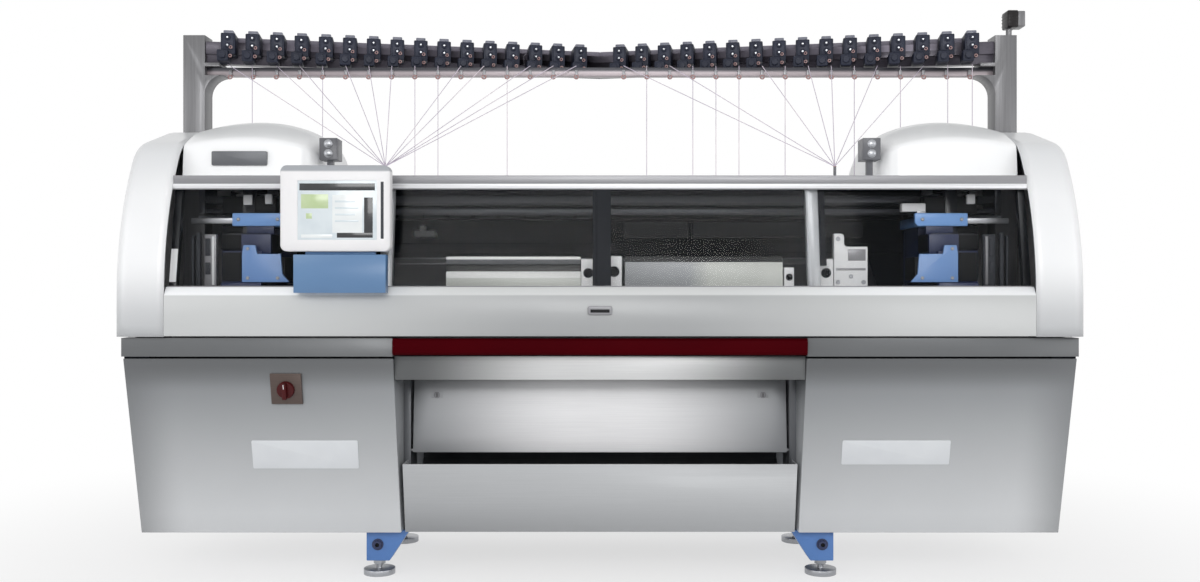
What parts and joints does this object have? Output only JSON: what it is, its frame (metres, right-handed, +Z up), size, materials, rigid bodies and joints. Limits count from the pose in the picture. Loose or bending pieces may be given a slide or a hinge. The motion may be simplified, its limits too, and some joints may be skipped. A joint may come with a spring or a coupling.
{
  "type": "flat knitting machine",
  "caption": "Long free-standing flat knitting machine with arched white end covers, a glazed hood over V-set needle beds, a yarn stand above and two cabinets beside a take-down bay.",
  "frame": {"origin": "on the floor, below the middle of the machine's bounding box", "axes": "+X along the machine to the right as seen by the operator, +Y from the front to the back, +Z up"},
  "size_m": [3.644, 1.01, 2.312],
  "materials": {
    "frame_steel": "satin",
    "machined_steel": "brushed",
    "blue_paint": "satin",
    "cabinet_paint": "satin metallic",
    "cover_white": "satin",
    "grey_trim": "satin",
    "dark_red": "satin",
    "bay_sheet": "brushed",
    "rubber": "matt",
    "glazing": "clear",
    "unit_plastic": "satin",
    "stand_paint": "satin",
    "yarn": "matt",
    "screen": "gloss",
    "lamp": "gloss",
    "plastic_white": "satin"
  },
  "bodies": {
    "machine_frame": {"frame_sides": "frame_steel", "frame_beams": "frame_steel", "foot_brackets": "blue_paint", "levelling_feet": "machined_steel", "left_cabinet": "cabinet_paint", "right_cabinet": "cabinet_paint", "back_panels": "cabinet_paint", "electric_units": "grey_trim", "cable_gland": "rubber", "main_switch_plate": "grey_trim", "header_rails": "grey_trim", "header_panel": "bay_sheet", "lower_panel": "bay_sheet", "fabric_chute": "frame_steel", "roller_bearings": "frame_steel", "lower_front_cover": "cover_white", "cover_pull": "grey_trim", "left_side_cover": "cover_white", "right_side_cover": "cover_white", "hood_flange": "cover_white", "hood_strip": "grey_trim", "top_deck": "grey_trim", "rear_hood_cover": "cover_white", "left_top_cover": "cover_white", "right_top_cover": "cover_white", "side_windows": "glazing", "door_tracks": "grey_trim", "window_posts": "bay_sheet", "needle_bed_bases": "frame_steel", "front_needle_bed": "machined_steel", "bed_covers": "plastic_white", "bed_clamps": "plastic_white", "carriage_rails": "machined_steel", "feeder_rails": "machined_steel", "rail_hangers": "frame_steel", "stand_posts": "stand_paint", "unit_rails": "stand_paint", "guide_rail": "stand_paint", "yarn_control_units": "unit_plastic", "yarn_tensioners": "grey_trim", "yarns": "yarn", "panel_stand": "blue_paint", "signal_lamp": "lamp"},
    "engaging_rod": {"engaging_rod": "dark_red"},
    "take_down_cover": {"take_down_cover": "bay_sheet"},
    "main_switch_knob": {"main_switch_knob": "dark_red"},
    "take_down_roller": {"take_down_roller": "rubber"},
    "presser_roller": {"presser_roller": "machined_steel"},
    "left_door": {"left_door": "glazing"},
    "right_door": {"right_door": "glazing"},
    "left_carriage": {"left_cam_boxes": "blue_paint", "left_carriage_bow": "blue_paint"},
    "right_carriage": {"right_cam_boxes": "blue_paint", "right_carriage_bow": "blue_paint"},
    "rear_needle_bed": {"rear_needle_bed": "machined_steel"},
    "left_yarn_feeder": {"left_yarn_feeder": "plastic_white"},
    "right_yarn_feeder": {"right_yarn_feeder": "plastic_white"},
    "control_panel": {"panel_housing": "plastic_white", "panel_screen": "screen"}
  },
  "joints": [
    {"name": "left_carriage_slide", "type": "slide", "parent": "machine_frame", "child": "left_carriage", "axis": [1, 0, 0], "range_m": [0, 1.1]},
    {"name": "right_carriage_slide", "type": "slide", "parent": "machine_frame", "child": "right_carriage", "axis": [1, 0, 0], "range_m": [-1.1, 0]},
    {"name": "left_door_slide", "type": "slide", "parent": "machine_frame", "child": "left_door", "axis": [1, 0, 0], "range_m": [-0.74, 0]},
    {"name": "right_door_slide", "type": "slide", "parent": "machine_frame", "child": "right_door", "axis": [1, 0, 0], "range_m": [0, 0.74]},
    {"name": "left_feeder_slide", "type": "slide", "parent": "machine_frame", "child": "left_yarn_feeder", "axis": [1, 0, 0], "range_m": [0, 1.25]},
    {"name": "right_feeder_slide", "type": "slide", "parent": "machine_frame", "child": "right_yarn_feeder", "axis": [1, 0, 0], "range_m": [-1.25, 0]},
    {"name": "rear_bed_racking", "type": "slide", "parent": "machine_frame", "child": "rear_needle_bed", "axis": [1, 0, 0], "range_m": [-0.05, 0.05]},
    {"name": "engaging_rod_turn", "type": "hinge", "parent": "machine_frame", "child": "engaging_rod", "pos_m": [0, -0.416, 0.917], "axis": [1, 0, 0], "range_deg": [-8, 8]},
    {"name": "take_down_cover_hinge", "type": "hinge", "parent": "machine_frame", "child": "take_down_cover", "pos_m": [0, -0.182, 0.494], "axis": [1, 0, 0], "range_deg": [0, 75]},
    {"name": "main_switch_turn", "type": "hinge", "parent": "machine_frame", "child": "main_switch_knob", "pos_m": [-1.186, -0.39697, 0.756], "axis": [0, -0.973, -0.2306], "range_deg": [0, 90]},
    {"name": "panel_tilt", "type": "hinge", "parent": "machine_frame", "child": "control_panel", "pos_m": [-0.9595, -0.478, 1.266], "axis": [1, 0, 0], "range_deg": [-10, 0]},
    {"name": "take_down_roller_turn", "type": "hinge", "parent": "machine_frame", "child": "take_down_roller", "pos_m": [0, -0.03, 0.64], "axis": [1, 0, 0], "continuous": true},
    {"name": "presser_roller_turn", "type": "hinge", "parent": "machine_frame", "child": "presser_roller", "pos_m": [0, 0.028, 0.64], "axis": [1, 0, 0], "continuous": true}
  ],
  "couplings": [
    {"joint": "presser_roller_turn", "follows": "take_down_roller_turn", "ratio": -1.2}
  ]
}
